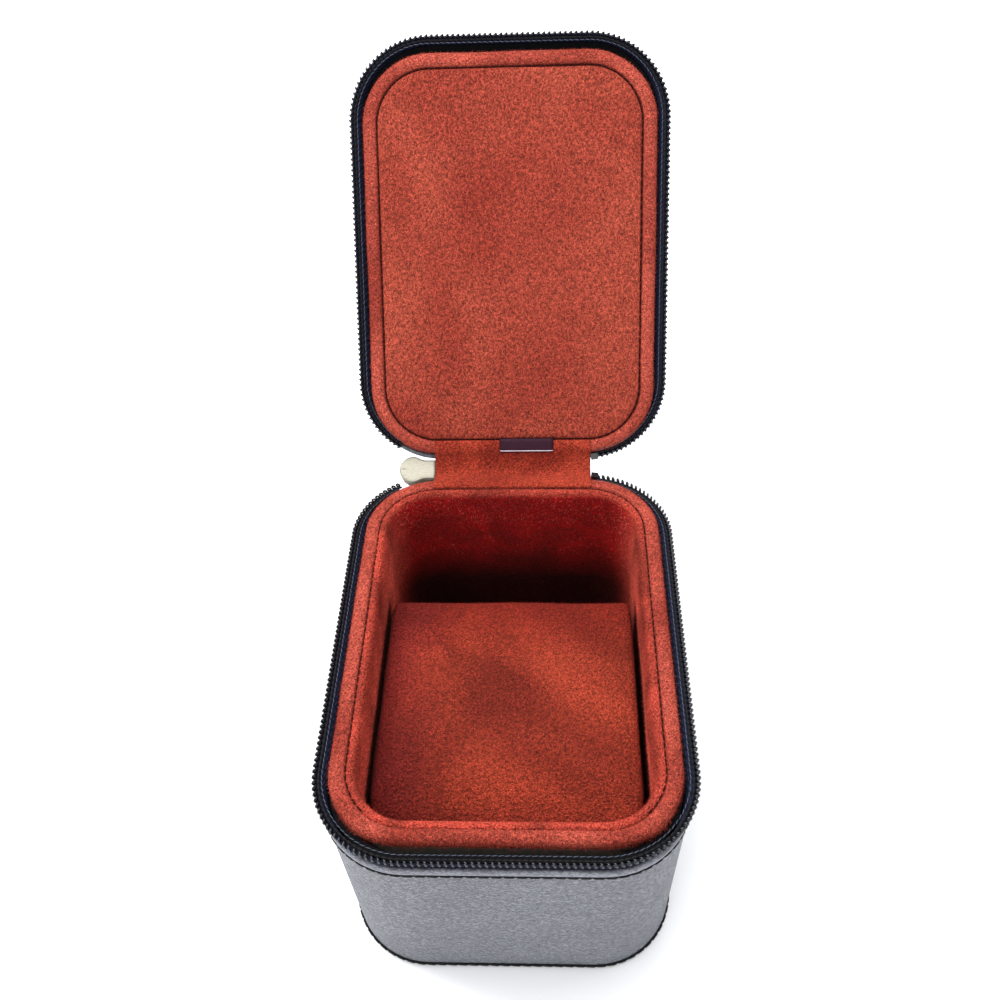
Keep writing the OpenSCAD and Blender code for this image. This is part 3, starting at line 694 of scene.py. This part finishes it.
nap_tree, nap = shape_tree("suede_nap", "Surface", {
    "Fibres per Square Metre": 2e6, "Fibre Length": 0.0005, "Fibre Radius": 0.00004,
    "Sweep": 0.8})
strewn = add(nap_tree, "GeometryNodeDistributePointsOnFaces",
             {0: nap["Surface"], "Density": nap["Fibres per Square Metre"], "Seed": 4})
fibre_cone = add(nap_tree, "GeometryNodeMeshCone",
                 {"Vertices": 3, "Radius Top": 0.0, "Radius Bottom": nap["Fibre Radius"],
                  "Depth": nap["Fibre Length"]}, fill_type="NONE").outputs[0]
most = add(nap_tree, "ShaderNodeCombineXYZ",
           {0: nap["Sweep"], 1: nap["Sweep"], 2: 3.1}).outputs[0]
least = add(nap_tree, "ShaderNodeVectorMath", {0: most, "Scale": -1.0},
            operation="SCALE").outputs[0]
swept = add(nap_tree, "FunctionNodeRandomValue", {0: least, 1: most, "Seed": 9},
            data_type="FLOAT_VECTOR").outputs[0]
fibre_turn = add(nap_tree, "FunctionNodeRotateRotation",
                 {"Rotation": strewn.outputs["Rotation"], 1: swept},
                 rotation_space="LOCAL").outputs[0]
uneven_size = add(nap_tree, "FunctionNodeRandomValue",
                  {0: (0.6, 0.6, 0.5), 1: (1.2, 1.2, 1.4), "Seed": 2},
                  data_type="FLOAT_VECTOR").outputs[0]
standing = add(nap_tree, "GeometryNodeInstanceOnPoints",
               {0: strewn.outputs[0], "Instance": fibre_cone, "Rotation": fibre_turn,
                "Scale": uneven_size}).outputs[0]
nap_real = add(nap_tree, "GeometryNodeRealizeInstances", {0: standing}).outputs[0]
nap_material = add(nap_tree, "GeometryNodeSetMaterial", {0: nap_real, "Material": rim_suede})
add(nap_tree, "NodeGroupOutput", {0: nap_material.outputs[0]})


def raise_nap(piece, body, per_mm2, length, material, keep=None, sweep=0.8, thick=0.05):
    """Short fibres on the piece where keep(x, y, z) holds, all in millimetres."""
    ground = piece.data.copy()
    if keep:
        clip = bmesh.new()
        clip.from_mesh(ground)
        away = [f for f in clip.faces if not keep(*(f.calc_center_median() / MM))]
        bmesh.ops.delete(clip, geom=away, context="FACES")
        clip.to_mesh(ground)
        clip.free()
    nap_material.inputs["Material"].default_value = material
    mesh = grown(link(piece.name + "_ground", ground), nap_tree, {
        "Fibres per Square Metre": per_mm2 * 1e6, "Fibre Length": length * MM,
        "Fibre Radius": thick * MM, "Sweep": sweep})
    mesh.name = piece.name + "_nap"
    return place_piece(link(mesh.name, mesh), body, finish="red_suede")


DRAWN_FROM, DRAWN_OVER, DRAWN_BY = -49.4, 4.0, 0.8


def drawn_in(p, body):
    """The suede of the box is drawn tighter over the front of the rim."""
    x, y, z = p
    if body != "case_body" or y > DRAWN_FROM:
        return p
    return x, y + DRAWN_BY * min(1.0, (DRAWN_FROM - y) / DRAWN_OVER), z


rim_profile = [(RIM_OUT + 0.3, 64.2), (RIM_OUT - 0.05, 64.6), (RIM_OUT - 0.2, 65.5),
               (RIM_OUT - 0.1, 66.5), (RIM_OUT + 0.35, 67.2), (RIM_OUT + 1.1, 67.6),
               (RIM_OUT + 2.0, 67.75), (RIM_OUT + 2.8, 67.68), (RIM_OUT + 3.3, 67.4),
               (RIM_IN - 0.3, 66.9), (RIM_IN - 0.2, 66.2), (RIM_IN - 0.2, 65.2),
               (RIM_IN - 0.3, 64.2)]
for rim_name, place, body, node, seed in (
    ("rim_of_box", SHUT, "case_body", "rim_pad", 0.0),
    ("rim_of_lid", LID_MIRROR, "lid", "lid_rim_pad", 7.0),
):
    rows = [[drawn_in(p, body) for p in row] for row in round_case(rim_profile)]
    rim = shell(rim_name, soft(rows, 0.16, seed=seed), rim_suede, place=place)
    place_piece(rim, body, node, finish="red_suede")
    raise_nap(rim, body, 3.0, 0.55, rim_suede)
raise_nap(bpy.data.objects["rim_of_box"], "case_body", 2.5, 1.0, rim_suede,
          keep=lambda x, y, z: y < -47 and z < 67.5)

# ---------- Lining of the well ----------
# The walls are suede over thin foam, which bulges inwards below the sewn crease and leaves the
# cushion a bare millimetre at each side.
liner_profile = [(5.0, 66.2), (5.4, 66.9), (5.8, 67.2), (6.3, 67.3), (6.9, 67.15),
                 (7.3, 66.6), (7.65, 65.6), (7.85, 64.0), (7.95, 61.0), (7.95, 56.0),
                 (7.9, 50.0), (7.6, 42.0), (7.3, 32.0), (7.0, 22.0), (6.6, 14.0), (6.0, 9.6),
                 (5.6, 8.4), (5.0, 8.4), (4.6, 12.0), (4.5, 24.0), (4.5, 40.0), (4.5, 56.0),
                 (4.7, 63.0)]
lining = shell("well_lining", soft(round_case(liner_profile), 0.22, 0.045, 3.0), well_suede)
place_piece(lining, "case_body", "well_liner", finish="red_suede")
raise_nap(lining, "case_body", 2.0, 0.5, well_suede, keep=lambda x, y, z: z > 45)
raise_nap(lining, "case_body", 0.3, 0.9, fibre_suede, keep=lambda x, y, z: z > 43 and y > 38,
          sweep=1.1, thick=0.1)
raise_nap(lining, "case_body", 1.0, 0.9, fibre_suede, keep=lambda x, y, z: z > 54 and y > 40,
          sweep=1.1, thick=0.1)
floor_steps = [(5.9, 7.3), (5.9, 7.7), (6.2, 8.05), (7.0, 8.15), (10, 8.2), (16, 8.22),
               (24, 8.25), (35, 8.25)]
place_piece(panel("well_floor_suede", floor_steps, well_suede), "case_body", "well_floor",
            finish="red_suede")
dress("flap_tail_lower", rim_suede)
dress("flap_tail_upper", rim_suede)

crease_thread = speckled("dark_red_sewing_thread", "#0E0E10", "#1A0606", "#3A0F0C", 4000, 2, 0.9,
                         depth=0.00005, Specular_IOR_Level=0.1)
CREASE_STITCHES = stitches(0.0021, 0.002, 0.0002, 0.0)
crease_tree = stitch_tree("sewn_crease", CREASE_STITCHES, ALONG_Z, crease_thread)


def crease_line(inset, z):
    """The sewn crease: it fades under the thick front roll, as there the rim is rolled over."""
    path = ring_at(inset, z)
    start = next(i for i, p in enumerate(path) if p[1] < -40 and p[0] > 0)
    ordered = path[start:] + path[:start]
    return [p for p in ordered if p[1] > -46]


join_line = [(2.5, y, z) for y, z in ((-49.6, 67.5), (-49.25, 67.2), (-49.05, 66.8),
                                      (-48.6, 66.3), (-48.2, 65.6), (-47.9, 64.8))]
for run_name, line in (("crease_of_box", crease_line(5.55, 67.05)),
                       ("join_of_lining", join_line)):
    run = run_on_path(run_name, crease_tree, line, False, CREASE_STITCHES)
    place_piece(run, "case_body", finish="red_suede")

# ---------- Watch cushion ----------
# A block of foam in a suede wrap, closed by flat end panels, that lifts out of the well. It
# swells a little between its edges.
CUSHION_W, CUSHION_Y0, CUSHION_Y1, CUSHION_Z0, CUSHION_Z1 = 64.0, -46.6, 21.4, 8.5, 54.5
BACK_TOP_R, FRONT_TOP_R, FRONT_FOOT_R, BACK_FOOT_R = 3.5, 15, 8, 7
WELL_SIDE, SWELL, OVER_FOAM = 8.6, 0.35, 0.0004


def side_of_cushion(inset):
    """Side view of the cushion, moved in by inset, as y and z."""
    y0, y1 = CUSHION_Y0 + inset, CUSHION_Y1 - inset
    z0, z1 = CUSHION_Z0 + inset, CUSHION_Z1 - inset
    arcs = []
    for cy, cz, r, a0 in ((y1, z1, BACK_TOP_R, 0), (y0, z1, FRONT_TOP_R, 90),
                          (y0, z0, FRONT_FOOT_R, 180), (y1, z0, BACK_FOOT_R, 270)):
        r -= inset
        cy += -r if cy == y1 else r
        cz += -r if cz == z1 else r
        angles = [math.radians(a) for a in range(a0, a0 + 91, 10)]
        arcs.append([(cy + r * math.cos(a), cz + r * math.sin(a)) for a in angles])
    return joined(arcs, 9)


def follow_well(x, y):
    """Keeps a point of the cushion inside the rounded front corners of the well."""
    r = CORNER - WELL_SIDE
    cx, cy = HALF_W - WELL_SIDE - r, -(HALF_D - WELL_SIDE - r)
    if y < cy and abs(x) > cx:
        dx, dy = abs(x) - cx, y - cy
        reach = math.hypot(dx, dy)
        if reach > r:
            return math.copysign(cx + dx * r / reach, x), cy + dy * r / reach
    return x, y


# Painted shade in the cushion's suede: darker towards its back and its left end, dark maroon below
# its top, and near-black painted shadow on both end panels where they stand close to the lining.
cushion_suede = brushed_suede(
    "brushed_suede_cushion", "#692015", "#85301F", nap=24.0, sheen=0.2, cloud=0.15,
    painted_shading=((1, 0.0, 0.022, "#66170F"), (0, -0.014, -0.032, "#5E1615"),
            (2, 0.0535, 0.0455, "#480A0B"), (0, 0.0311, 0.0318, "#200607"),
            (0, -0.0311, -0.0318, "#200607")))
cushion_rows = []
stations = [0.1 * k for k in range(-9, 10)]
stations = [-1.0, -0.997, -0.985, -0.97] + stations + [0.97, 0.985, 0.997, 1.0]
for t in stations:
    turn_in = min(1.0, max(0.0, abs(t) - 0.97) / 0.03)
    inset = 1.0 * (1 - math.sqrt(1 - turn_in ** 2))
    x = t * (CUSHION_W / 2 - 0.2)
    cushion_rows.append([(*follow_well(x, y), z) for y, z in side_of_cushion(inset - SWELL)])


def plump(piece, voxel, push, frames, cap):
    """Blows the closed piece up like a stuffed bag, lets no point move further than cap, and
    smooths it."""
    start = piece.modifiers.new("even_cloth", "REMESH")
    start.mode = "VOXEL"
    start.voxel_size = voxel
    even = applied(piece)
    material = piece.data.materials[0]
    piece.data = even
    piece.data.materials.clear()
    piece.data.materials.append(material)
    home = [v.co.copy() for v in even.vertices]
    cloth = piece.modifiers.new("stuffing", "CLOTH")
    cloth.settings.use_pressure = True
    cloth.settings.uniform_pressure_force = push
    cloth.settings.effector_weights.gravity = 0
    cloth.settings.tension_stiffness = 30
    cloth.settings.compression_stiffness = 30
    cloth.settings.bending_stiffness = 4
    cloth.settings.quality = 6
    cloth.point_cache.frame_start = 1
    cloth.point_cache.frame_end = frames
    for frame_number in range(1, frames + 1):
        bpy.context.scene.frame_set(frame_number)
    blown = applied(piece)
    for vertex, start_at in zip(blown.vertices, home):
        move = vertex.co - start_at
        if move.length > cap:
            vertex.co = start_at + move * (cap / move.length)
    piece.data = blown
    bpy.context.scene.frame_set(1)


cushion = shell("cushion_in_suede", cushion_rows, cushion_suede, capped=True)
plump(cushion, 0.0018, 4.0, 20, 0.0006)
finer = cushion.modifiers.new("finer", "SUBSURF")
finer.levels = finer.render_levels = 1
rounded = applied(cushion)
cushion.data = rounded
rounded.shade_smooth()
foam_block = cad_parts["cushion_core"]
block = bvhtree.BVHTree.FromPolygons([v.co.copy() for v in foam_block.data.vertices],
                                     [tuple(f.vertices) for f in foam_block.data.polygons])
for vertex in rounded.vertices:
    p = vertex.co / MM
    ripple = noise.noise(Vector((p.x * 0.05, p.y * 0.07, p.z * 0.05))) * 0.35
    vertex.co += vertex.normal * ripple * MM
    nearest, facing = block.find_nearest(vertex.co)[:2]
    if (vertex.co - nearest).dot(facing) < OVER_FOAM:
        vertex.co = nearest + facing * OVER_FOAM
place_piece(cushion, "cushion", "cushion_wrap", "cushion_end_left", "cushion_end_right",
            finish="red_suede")
raise_nap(cushion, "cushion", 3.0, 0.5, cushion_suede, keep=lambda x, y, z: z > 44)

# ---------- Suede pad of the lid ----------
# A flat suede pad on thin foam fills the lid's rim. A narrow dark groove is left all round it,
# and its edge is drawn down into that groove.
lid_suede = brushed_suede("brushed_suede_lid", "#7A2B20", "#8D3B2C", nap=26.0, cloud=0.0,
                          lay=(1.0, 1.0, 0.45), turn=math.radians(36))
pad_steps = [(5.95, 64.3), (5.75, 65.5), (5.75, 66.8), (5.95, 67.35), (6.4, 67.65),
             (7.2, 67.82), (8.6, 67.92), (11, 67.98), (15, 68.0), (20, 68.02), (26, 68.0),
             (33, 67.98), (38.5, 67.95)]
pad_rows = soft(round_case(pad_steps), 0.14, 0.05, 11.0)
lid_pad = shell("lid_pad_suede", pad_rows, lid_suede, LID_MIRROR, capped=True)
place_piece(lid_pad, "lid", "lid_pad", finish="red_suede")
raise_nap(lid_pad, "lid", 2.0, 0.45, lid_suede)
place_piece(run_on_path("crease_of_lid", crease_tree, ring_at(5.68, 67.2), True,
                        CREASE_STITCHES, LID_MIRROR), "lid", finish="red_suede")

# ---------- Hinge strap ----------
# Outside, a strap of the wall's leather joins box and lid and folds at both lips. Inside, a
# strip of suede lies over both rims and bridges the gap; its cut side edges are straight.
strap_profile = []
for z_mid, a0 in ((CASE_H, 180), (CASE_H + ZIP_GAP, 0)):
    for k in range(9):
        a = math.radians(a0 + 180 * k / 8)
        strap_profile.append((FOLD_Y + 0.5 * math.cos(a), z_mid + 0.5 * math.sin(a)))
    side = 0.5 if a0 == 180 else -0.5
    for k in range(1, 12):
        z = z_mid + (ZIP_GAP * k / 12 if a0 == 180 else -ZIP_GAP * k / 12)
        strap_profile.append((FOLD_Y + side, z))
spine_rows = []
for k in range(45):
    x = -STRAP_HALF + 2 * STRAP_HALF * k / 44
    spine_rows.append([(x, y + 0.06 * noise.noise(Vector((x * 0.3, y, z * 0.4))), z)
                       for y, z in strap_profile])
# The spine carries the lip leather's painted highlight.
place_piece(shell("hinge_spine", spine_rows, lip_leather, STRAP_OPEN, capped=True),
            "hinge_strap", "hinge_leather", finish="leather_black")


def from_lid(y, z):
    """A point of the shut lid, where the open lid holds it."""
    p = LID_OPEN @ Vector((0, y, z))
    return Vector((p.y, p.z))


box_side = [Vector(p) for p in ((49.75, 67.5), (50.3, 67.85), (51.4, 68.02), (52.6, 67.95),
                                (53.6, 67.5))]
middle = Vector((56.9, 67.0))
lid_side = [from_lid(*p) for p in ((53.5, 69.05), (52.6, 68.55), (51.4, 68.48), (50.3, 68.55),
                                   (49.6, 68.75))]
drop = geometry.interpolate_bezier(
    (*box_side[-1], 0), (54.6, 66.8, 0), (55.5, 66.75, 0), (*middle, 0), 9)
rise = geometry.interpolate_bezier(
    (*middle, 0), (58.2, 67.3, 0), (59.2, 68.6, 0), (*lid_side[0], 0), 9)
half_box = box_side + [Vector((p.x, p.y)) for p in drop[1:]]
half_lid = [Vector((p.x, p.y)) for p in rise] + lid_side[1:]
FLAP_HALF, FLAP_THICK = 21.9, 0.5


def flap_rows(line, before, after):
    """Cross-sections of the suede strip along a line of y and z, with its soft creases."""
    rows = []
    spots = [before] + line + [after]
    for i in range(1, len(spots) - 1):
        run = (spots[i + 1] - spots[i - 1]).normalized()
        out = Vector((-run.y, run.x))
        row = []
        for face in (1, -1):
            order = range(-24, 25) if face > 0 else range(24, -25, -1)
            for k in order:
                x = FLAP_HALF * k / 24
                crease_z = 0.16 * noise.noise(Vector((x * 0.05, spots[i].x * 0.9, 4.0)))
                p = spots[i] + out * (face * FLAP_THICK / 2 + crease_z)
                row.append((x, p.x, p.y))
        rows.append(row)
    return rows


for flap_name, line, before, after, bodies, start, end, nodes in (
    ("hinge_flap_box_half", half_box, Vector((49.0, 67.2)), half_lid[1],
     ("case_body", "hinge_strap"), (0, 0.0532, 0.0675), (0, 0.0558, 0.0668), ()),
    ("hinge_flap_lid_half", half_lid, half_box[-2], from_lid(49.0, 69.0),
     ("hinge_strap", "lid"), (0, 0.0579, 0.0672), (0, 0.0598, 0.0702), ("hinge_flap",)),
):
    flap = shell(flap_name, flap_rows(line, before, after), flap_suede, capped=True)
    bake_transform(flap)
    if nodes:
        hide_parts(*nodes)

# ---------- Leather pull tab of the lid ----------
# A narrow piece of plum calf leather is folded over and glued in the pad's groove. A thin pale rod
# near its fold is a painted highlight.
calf = speckled("plum_calf_leather", "#4A2438", "#1C0814", "#341223", 1500, 4, 0.6,
                depth=0.00006, Specular_IOR_Level=0.12)
pale_edge_highlight = speckled("painted_highlight_edge", "#B9A9B4", "#8D7C8A", "#D8CDD4", 2600, 3, 0.7)

tab_rows = []
TAB_X, TAB_W, TAB_STEPS, EDGE_IN = -3.5, 15.0, 16, 0.1
for k in range(TAB_STEPS + 1):
    x = TAB_X + TAB_W * k / TAB_STEPS
    droop = 0.06 * noise.noise(Vector((x * 0.4, 1.0, 2.0)))
    row = []
    for y, z in ((49.2, 68.6), (49.0, 68.35), (49.2, 68.05), (50.2, 67.97), (51.4, 67.95),
                 (52.5, 67.96), (52.92, 68.1), (53.0, 68.35), (52.9, 68.58), (52.5, 68.7),
                 (51.4, 68.72), (50.2, 68.7)):
        row.append((x, y, z + droop))
    tab_rows.append(row)
place_piece(shell("lid_pull_tab", tab_rows, calf, LID_OPEN, capped=True),
            "lid_tab_body", "lid_tab", finish="plum_leather")
# The pale rod is a painted highlight near the tab's fold.
edge_rows = []
for k in range(TAB_STEPS + 1):
    x = TAB_X + EDGE_IN + (TAB_W - 2 * EDGE_IN) * k / TAB_STEPS
    edge_rows.append([(x, 52.5 + 0.14 * math.cos(math.radians(a)),
                       67.98 + 0.13 * math.sin(math.radians(a))) for a in range(0, 360, 45)])
place_piece(shell("lid_pull_tab_edge", edge_rows, pale_edge_highlight, LID_OPEN, capped=True),
            "lid_tab_body", finish="plum_leather")

# ---------- Zip slider and its pull ----------
# The slider is die-cast zinc with a champagne nickel plate: two egg-shaped plates on a post,
# with ears that hold the pull's pin. It stands at the strap's left end, nose away from it.
SLIDER_X0, SLIDER_L, SLIDER_Y = -32.25, 10.2, 55.6
NOSE, NECK, CHANNEL, PLATE_T = 3.9, 2.8, 2.6, 0.8
nickel = speckled("brushed_nickel_plate", "#E4E1D4", "#8A8779", "#BDBAAC", 1400, 4, (0.55, 0.75),
                  depth=0.00004, stretch=(1, 1, 3), Metallic=1.0)


def plate_half(t):
    """Half width of a plate at t from its nose."""
    waist = 0.72 * SLIDER_L
    if t < NOSE:
        return math.sqrt(max(0.0, NOSE * NOSE - (NOSE - t) ** 2))
    if t < waist:
        return NECK + (NOSE - NECK) * (1 + math.cos(math.pi * (t - NOSE) / (waist - NOSE))) / 2
    return NECK


def plate_ring(inset, y):
    """Outline of a plate, moved in by inset, at depth y."""
    stops = [NOSE * (1 - math.cos(math.radians(a))) for a in range(0, 91, 6)]
    stops += [NOSE + (SLIDER_L - NOSE) * k / 16 for k in range(1, 17)]
    mid = SLIDER_L / 2
    ring = []
    for side in (1, -1):
        for t in (stops if side > 0 else stops[::-1][:-1]):
            half = max(plate_half(t) - inset, 0.02)
            along = mid + (t - mid) * (1 - inset / mid)
            ring.append((SLIDER_X0 + along, y, MID_Z + side * half))
    return ring


def slider_plate(name, y_flat, y_face):
    """A plate whose outer face y_face is domed and rounded off."""
    way = 1 if y_face > y_flat else -1
    t = abs(y_face - y_flat)
    rings = [(0.15, 0), (0.0, 0.12 * t), (0.0, 0.55 * t), (0.1, 0.78 * t), (0.3, 0.93 * t),
             (0.6, t), (1.4, t), (2.4, t)]
    rows = [plate_ring(inset, y_flat + way * rise_by) for inset, rise_by in rings]
    return shell(name, rows, nickel, STRAP_OPEN, capped=True)


def cast_block(name, low, high, softened):
    """A block of the casting, between two corners, with softened edges."""
    cast = bmesh.new()
    bmesh.ops.create_cube(cast, size=1.0)
    for vertex in cast.verts:
        vertex.co = Vector([a + (c + 0.5) * (b - a) for a, b, c in zip(low, high, vertex.co)])
    bmesh.ops.bevel(cast, geom=cast.edges[:], offset=softened, segments=2, profile=0.5,
                    affect="EDGES")
    for vertex in cast.verts:
        vertex.co = (STRAP_OPEN @ vertex.co) * MM
    mesh = bpy.data.meshes.new(name)
    cast.to_mesh(mesh)
    cast.free()
    mesh.materials.append(nickel)
    return link(name, mesh)


CHANNEL_IN, CHANNEL_OUT = SLIDER_Y - CHANNEL / 2, SLIDER_Y + CHANNEL / 2
BACK = CHANNEL_OUT + PLATE_T
POST_AT, POST_L, POST_W = 1.6, 2.2, 2.0
EAR_T, EAR_L, EAR_H, PULL_EYE, PIN_RISE, PIN_R = 0.8, 1.8, 2.4, 3.0, 1.5, 0.5
PIN_X = SLIDER_X0 + SLIDER_L / 2
place_piece(slider_plate("slider_inner_plate", CHANNEL_IN, CHANNEL_IN - PLATE_T),
            "slider_body", "zip_slider", finish="zip_metal")
place_piece(slider_plate("slider_outer_plate", CHANNEL_OUT, BACK), "slider_body",
            finish="zip_metal")
for part_name, low, high, softened in (
    ("slider_post", (SLIDER_X0 + POST_AT, CHANNEL_IN - 0.1, MID_Z - POST_W / 2),
     (SLIDER_X0 + POST_AT + POST_L, CHANNEL_OUT + 0.1, MID_Z + POST_W / 2), 0.2),
    ("slider_ear_low", (PIN_X - EAR_L / 2, BACK - 0.1, MID_Z - PULL_EYE / 2 - EAR_T),
     (PIN_X + EAR_L / 2, BACK + EAR_H, MID_Z - PULL_EYE / 2), 0.2),
    ("slider_ear_high", (PIN_X - EAR_L / 2, BACK - 0.1, MID_Z + PULL_EYE / 2),
     (PIN_X + EAR_L / 2, BACK + EAR_H, MID_Z + PULL_EYE / 2 + EAR_T), 0.2),
    ("slider_pin", (PIN_X - PIN_R, BACK + PIN_RISE - PIN_R, MID_Z - PULL_EYE / 2 - 0.4),
     (PIN_X + PIN_R, BACK + PIN_RISE + PIN_R, MID_Z + PULL_EYE / 2 + 0.4), 0.28),
):
    place_piece(cast_block(part_name, low, high, softened), "slider_body", finish="zip_metal")
dress("zip_pull", nickel)
